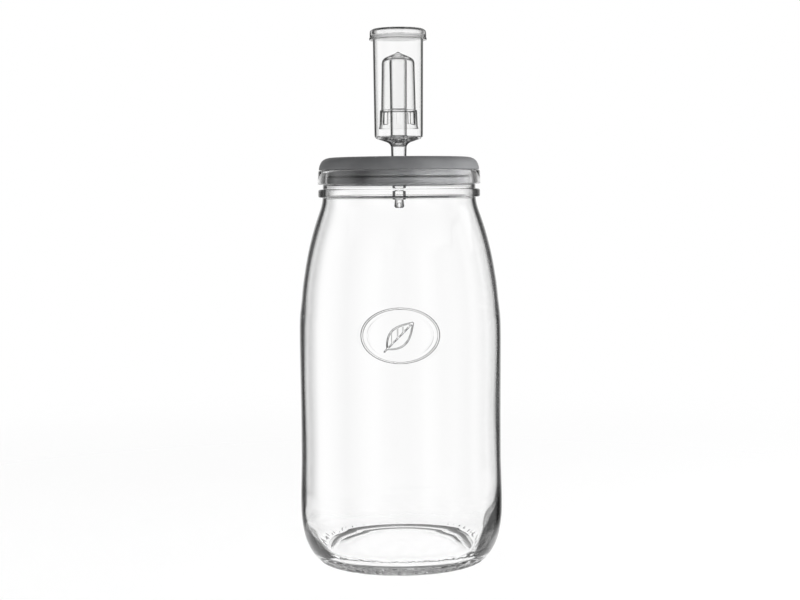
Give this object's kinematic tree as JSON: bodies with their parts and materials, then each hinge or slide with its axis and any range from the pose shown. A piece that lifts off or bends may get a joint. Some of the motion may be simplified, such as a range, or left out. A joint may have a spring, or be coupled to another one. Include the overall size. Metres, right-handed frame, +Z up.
{
  "type": "pickling jar with airlock",
  "caption": "Clear glass pickling jar closed by a push-in silicone lid with a clear plastic water airlock.",
  "frame": {"origin": "centre of the jar's contact ring, on the plane it stands on", "axes": "+Z up along the axis of the jar and airlock, -Y towards the front"},
  "size_m": [0.1382, 0.1382, 0.3624],
  "materials": {
    "clear_glass": "clear polished glass",
    "grey_silicone": "matt moulded silicone",
    "clear_plastic": "clear glossy moulded plastic"
  },
  "bodies": {
    "jar": {"glass_jar": "clear_glass"},
    "lid": {"silicone_lid": "grey_silicone"},
    "airlock": {"airlock_cup": "clear_plastic"},
    "bubbler": {"airlock_bubbler": "clear_plastic"},
    "cap": {"airlock_cap": "clear_plastic"}
  },
  "joints": [
    {"name": "lid_lift", "type": "slide", "parent": "jar", "child": "lid", "axis": [0, 0, 1], "range_m": [0, 0.05]},
    {"name": "airlock_pull", "type": "slide", "parent": "lid", "child": "airlock", "axis": [0, 0, 1], "range_m": [0, 0.04]},
    {"name": "bubbler_rise", "type": "slide", "parent": "airlock", "child": "bubbler", "axis": [0, 0, 1], "range_m": [0, 0.012]},
    {"name": "cap_pull", "type": "slide", "parent": "airlock", "child": "cap", "axis": [0, 0, 1], "range_m": [0, 0.02]}
  ]
}
